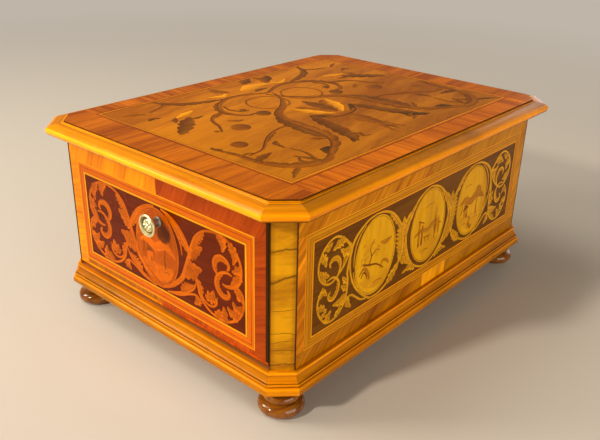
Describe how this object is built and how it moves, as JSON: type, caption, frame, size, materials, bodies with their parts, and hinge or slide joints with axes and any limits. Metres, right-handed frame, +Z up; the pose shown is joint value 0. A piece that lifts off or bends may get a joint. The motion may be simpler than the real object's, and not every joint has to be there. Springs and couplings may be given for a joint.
{
  "type": "musical box",
  "caption": "Key-wind cylinder musical box: canted marquetry case, hinged moulded lid, fall-front winding door, bun feet and a spring-driven comb movement.",
  "frame": {"origin": "middle of the box on the surface that its feet stand on", "axes": "+Z up, the front faces -Y, the winding door is at the -X end"},
  "size_m": [0.419, 0.313, 0.1878],
  "materials": {
    "secondary_wood": "planed, clear polish",
    "moulding_wood": "French polished, high gloss",
    "post_wood": "French polished, high gloss",
    "crossband_veneer": "marquetry and crossbanding, French polished",
    "lid_veneer_wood": "marquetry and crossbanding, French polished",
    "foot_wood": "turned, dark stain, high gloss",
    "knob_brass": "polished, pale",
    "hinge_brass": "satin, aged",
    "movement_brass": "polished and lacquered",
    "cast_brass": "cast, ground top",
    "steel": "ground and polished",
    "blued_steel": "blued",
    "spring_steel": "tempered"
  },
  "bodies": {
    "case": {"base_board": "moulding_wood", "feet": "foot_wood", "floor_board": "secondary_wood", "front_wall": "secondary_wood", "back_wall": "secondary_wood", "end_wall": "secondary_wood", "door_sill": "secondary_wood", "door_posts": "post_wood", "end_posts": "post_wood", "base_moulding": "moulding_wood", "base_moulding_corners": "moulding_wood", "front_veneer": "crossband_veneer", "back_veneer": "crossband_veneer", "end_veneer": "crossband_veneer", "partition": "secondary_wood", "winding_key": "hinge_brass", "key_clips": "hinge_brass", "hinge_case_leaves": "hinge_brass", "hinge_pins": "steel", "hinge_case_screws": "hinge_brass", "bedplate": "cast_brass", "bed_screws": "blued_steel", "comb": "steel", "comb_base": "cast_brass", "comb_screws": "blued_steel", "barrel_bridge": "movement_brass", "centre_bridge": "movement_brass", "end_bridge": "movement_brass", "governor_frame": "movement_brass", "endless_bracket": "movement_brass", "click_spring": "spring_steel"},
    "lid": {"lid_board": "secondary_wood", "lid_veneer": "lid_veneer_wood", "lid_moulding_front": "moulding_wood", "lid_moulding_back": "moulding_wood", "lid_moulding_ends": "moulding_wood", "lid_moulding_corners": "moulding_wood", "hinge_lid_leaves": "hinge_brass", "hinge_lid_screws": "hinge_brass"},
    "door": {"door_board": "secondary_wood", "door_veneer": "crossband_veneer", "door_pivots": "hinge_brass", "door_knob": "knob_brass", "knob_screw": "hinge_brass"},
    "barrel": {"spring_barrel": "movement_brass", "mainspring": "spring_steel"},
    "winder": {"winding_arbor": "steel", "ratchet_wheel": "steel"},
    "click": {"click": "movement_brass"},
    "cylinder_drive": {"cylinder_arbor": "steel", "great_wheel": "movement_brass"},
    "cylinder": {"music_cylinder": "movement_brass", "cylinder_pins": "steel"},
    "snail": {"tune_snail": "steel"},
    "first_wheel": {"governor_first_wheel": "movement_brass"},
    "second_wheel": {"governor_second_wheel": "movement_brass"},
    "fly": {"endless_fly": "steel"},
    "stop": {"stop_lever": "steel"},
    "change": {"change_lever": "steel"}
  },
  "joints": [
    {"name": "lid_hinge", "type": "hinge", "parent": "case", "child": "lid", "pos_m": [0, 0.143, 0.17535], "axis": [-1, 0, 0], "range_deg": [0, 105]},
    {"name": "door_hinge", "type": "hinge", "parent": "case", "child": "door", "pos_m": [-0.187, 0, 0.05], "axis": [0, -1, 0], "range_deg": [0, 90]},
    {"name": "winding_turn", "type": "hinge", "parent": "case", "child": "winder", "pos_m": [-0.15, 0.0369, 0.0957], "axis": [1, 0, 0], "continuous": true},
    {"name": "click_pivot", "type": "hinge", "parent": "case", "child": "click", "pos_m": [-0.146, 0.0608, 0.0978], "axis": [-1, 0, 0], "range_deg": [0, 12], "stiffness_Nm_per_rad": 0.01, "springref_deg": -11.46},
    {"name": "cylinder_turn", "type": "hinge", "parent": "case", "child": "cylinder_drive", "pos_m": [0, -0.01, 0.0957], "axis": [1, 0, 0], "continuous": true},
    {"name": "barrel_turn", "type": "hinge", "parent": "case", "child": "barrel", "pos_m": [-0.12, 0.0369, 0.0957], "axis": [1, 0, 0], "continuous": true},
    {"name": "first_wheel_turn", "type": "hinge", "parent": "case", "child": "first_wheel", "pos_m": [0.121, 0.0351, 0.0957], "axis": [1, 0, 0], "continuous": true},
    {"name": "second_wheel_turn", "type": "hinge", "parent": "case", "child": "second_wheel", "pos_m": [0.121, 0.0592, 0.0957], "axis": [1, 0, 0], "continuous": true},
    {"name": "fly_turn", "type": "hinge", "parent": "case", "child": "fly", "pos_m": [0.1315, 0.07375, 0.0957], "axis": [0, 0, 1], "continuous": true},
    {"name": "snail_turn", "type": "hinge", "parent": "cylinder_drive", "child": "snail", "pos_m": [0.109, -0.01, 0.1127], "axis": [1, 0, 0], "range_deg": [0, 300]},
    {"name": "tune_shift", "type": "slide", "parent": "cylinder_drive", "child": "cylinder", "axis": [-1, 0, 0], "range_m": [0, 0.0032]},
    {"name": "stop_swing", "type": "hinge", "parent": "case", "child": "stop", "pos_m": [0, -0.047, 0.0532], "axis": [0, 0, 1], "range_deg": [0, 1.45]},
    {"name": "change_swing", "type": "hinge", "parent": "case", "child": "change", "pos_m": [0.01, -0.061, 0.0532], "axis": [0, 0, 1], "range_deg": [0, 1.45]}
  ],
  "couplings": [
    {"joint": "barrel_turn", "follows": "cylinder_turn", "ratio": -0.2},
    {"joint": "first_wheel_turn", "follows": "cylinder_turn", "ratio": -4},
    {"joint": "second_wheel_turn", "follows": "cylinder_turn", "ratio": 12},
    {"joint": "fly_turn", "follows": "cylinder_turn", "ratio": 240},
    {"joint": "snail_turn", "follows": "tune_shift", "rad_per_m": 1636.2}
  ]
}
